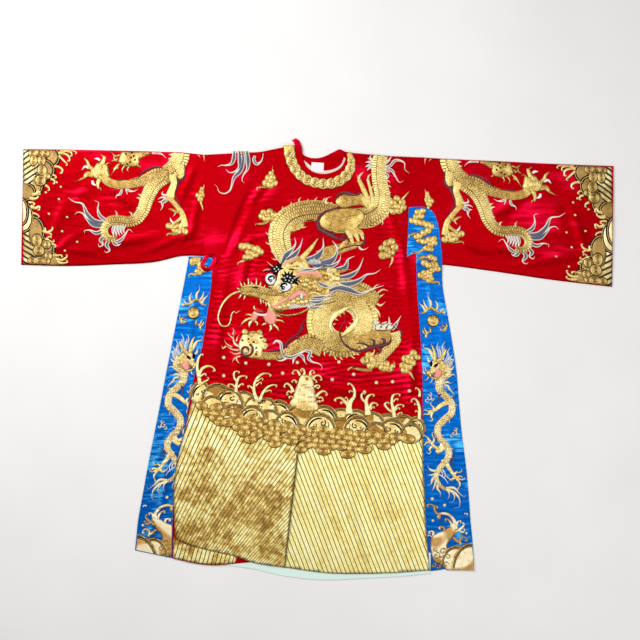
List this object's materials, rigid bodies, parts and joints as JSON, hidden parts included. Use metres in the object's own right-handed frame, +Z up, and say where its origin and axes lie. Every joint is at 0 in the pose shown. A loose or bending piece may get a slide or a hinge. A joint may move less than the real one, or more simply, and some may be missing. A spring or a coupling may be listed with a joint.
{
  "type": "chinese opera robe",
  "caption": "Wide-sleeved opera robe laid flat: round gold collar, side-fastening front over a lap, blue side fins, red satin with gold dragon and wave embroidery.",
  "frame": {"origin": "centre of the robe's box in plan, on the surface that it lies on", "axes": "+X along the sleeves towards the viewer's right, +Y from the hem to the neck, +Z up, out of the embroidered face"},
  "size_m": [2.013, 1.5, 0.0082],
  "materials": {
    "red_satin": "glossy red satin with fine horizontal puckers",
    "blue_satin": "glossy royal blue satin",
    "gold_couching": "couched gold thread, pale where it catches the light",
    "mint_lining": "plain pale mint lining",
    "pale_lining": "plain pale lining",
    "white_tape": "plain white woven label, blank"
  },
  "bodies": {
    "root": {"back_panel": "red_satin", "back_neck_facing": "red_satin", "neck_lining": "pale_lining", "neck_label": "white_tape", "hem_lining": "mint_lining", "under_lap": "red_satin", "under_lap_facing": "red_satin", "front_panel": "red_satin", "neck_binding": "red_satin", "collar_band": "gold_couching", "sleeve_left": "red_satin", "sleeve_right": "red_satin", "fin_left": "blue_satin", "fin_right": "blue_satin", "tie_loop": "red_satin"}
  },
  "joints": []
}
